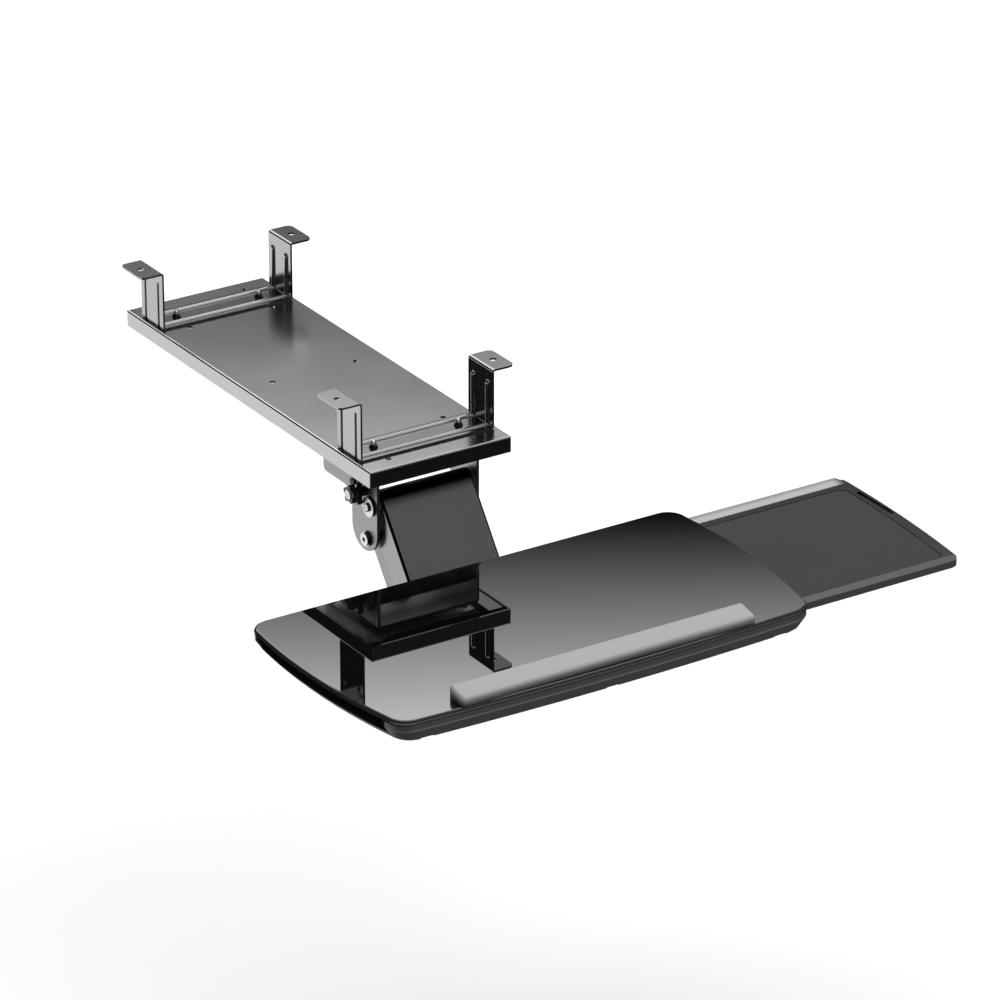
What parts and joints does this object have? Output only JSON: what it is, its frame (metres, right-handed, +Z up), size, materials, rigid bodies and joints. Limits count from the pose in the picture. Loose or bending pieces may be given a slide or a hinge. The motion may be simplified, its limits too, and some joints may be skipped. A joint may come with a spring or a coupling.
{
  "type": "keyboard tray under desk",
  "caption": "Under-desk keyboard tray: track on riser brackets, sliding and swivelling lift arm, tilting tray with wrist rest and a mouse platform that slides out at either side.",
  "frame": {"origin": "centre of the four desk screw holes, in the plane of the riser flanges' top faces, which is the underside of the desk", "axes": "+Z up, towards the desk; +Y to the rear along the track; +X to the right, as seen by a user at the tray"},
  "size_m": [0.6582, 0.7483, 0.2556],
  "materials": {
    "plate_steel": "satin black enamel, fairly glossy",
    "riser_steel": "satin black enamel",
    "bracket_steel": "satin black enamel",
    "black_steel": "black oxide",
    "rail_steel": "bright rolled steel",
    "zinc": "bright zinc plate",
    "dark_zinc": "dark zinc plate",
    "brass": "worn",
    "white_nylon": "moulded",
    "black_nylon": "moulded",
    "knob_plastic": "moulded",
    "cap_plastic": "smooth",
    "shell_plastic": "satin, finely textured",
    "panel_gloss": "mirror gloss",
    "platform_plastic": "satin",
    "pad_fabric": "fine woven cloth on foam",
    "rest_foam": "soft smooth foam"
  },
  "bodies": {
    "track": {"track_plate": "plate_steel", "riser_bracket_front": "riser_steel", "riser_bracket_rear": "riser_steel", "riser_bolts": "zinc", "riser_nuts": "dark_zinc", "slide_rail_left": "rail_steel", "slide_rail_right": "rail_steel", "track_stops": "black_nylon"},
    "carriage": {"carriage_plate": "rail_steel", "glide_blocks": "white_nylon", "glide_screws": "zinc", "swivel_post": "zinc", "bearing_ring": "white_nylon", "swivel_washer": "zinc", "swivel_nut": "zinc"},
    "swivel": {"swivel_bracket": "bracket_steel", "upper_pivot_shaft": "zinc", "upper_pivot_washers": "zinc", "upper_pivot_nuts": "dark_zinc", "lower_pivot_bolt": "zinc", "lower_pivot_nut": "zinc", "tie_rod": "dark_zinc", "tie_rod_bolts": "black_steel", "clamp_bar": "black_steel", "clamp_stud": "zinc", "link_spacers": "white_nylon"},
    "knob": {"clamp_knob": "knob_plastic", "knob_cap": "cap_plastic"},
    "arm": {"arm_cover": "bracket_steel", "arm_bushes": "white_nylon", "lift_spring": "zinc"},
    "link": {"lower_link": "bracket_steel"},
    "head": {"head_bracket": "bracket_steel", "head_upper_shaft": "zinc", "head_clips": "black_steel", "head_lower_shaft": "zinc"},
    "tray": {"tilt_shaft": "zinc", "tilt_washers": "brass", "tilt_nuts": "zinc", "tray_mount": "bracket_steel", "tray_screws": "zinc", "lower_shell": "shell_plastic", "top_panel": "panel_gloss", "wrist_rest": "rest_foam", "platform_rails": "white_nylon", "platform_stops": "white_nylon"},
    "platform": {"platform_frame": "platform_plastic", "mouse_pad": "pad_fabric", "stop_peg": "zinc"}
  },
  "joints": [
    {"name": "track_slide", "type": "slide", "parent": "track", "child": "carriage", "axis": [0, 1, 0], "range_m": [0, 0.28]},
    {"name": "swivel_turn", "type": "hinge", "parent": "carriage", "child": "swivel", "pos_m": [0, -0.15, -0.079], "axis": [0, 0, 1], "range_deg": [-60, 60]},
    {"name": "knob_turn", "type": "hinge", "parent": "swivel", "child": "knob", "pos_m": [-0.066, -0.179, -0.1025], "axis": [-1, 0, 0], "range_deg": [-180, 180]},
    {"name": "arm_lift", "type": "hinge", "parent": "swivel", "child": "arm", "pos_m": [0, -0.193, -0.113], "axis": [-1, 0, 0], "range_deg": [-8.5, 36.5]},
    {"name": "link_lift", "type": "hinge", "parent": "swivel", "child": "link", "pos_m": [0, -0.1875, -0.148], "axis": [-1, 0, 0], "range_deg": [-9, 37]},
    {"name": "head_level", "type": "hinge", "parent": "arm", "child": "head", "pos_m": [0, -0.26557, -0.21107], "axis": [-1, 0, 0], "range_deg": [-37, 9]},
    {"name": "tray_tilt", "type": "hinge", "parent": "head", "child": "tray", "pos_m": [0, -0.29197, -0.19997], "axis": [1, 0, 0], "range_deg": [-12, 10]},
    {"name": "platform_slide", "type": "slide", "parent": "tray", "child": "platform", "axis": [-1, 0, 0], "range_m": [0, 0.375]}
  ],
  "couplings": [
    {"joint": "link_lift", "follows": "arm_lift", "ratio": 1},
    {"joint": "head_level", "follows": "arm_lift", "ratio": -1}
  ]
}
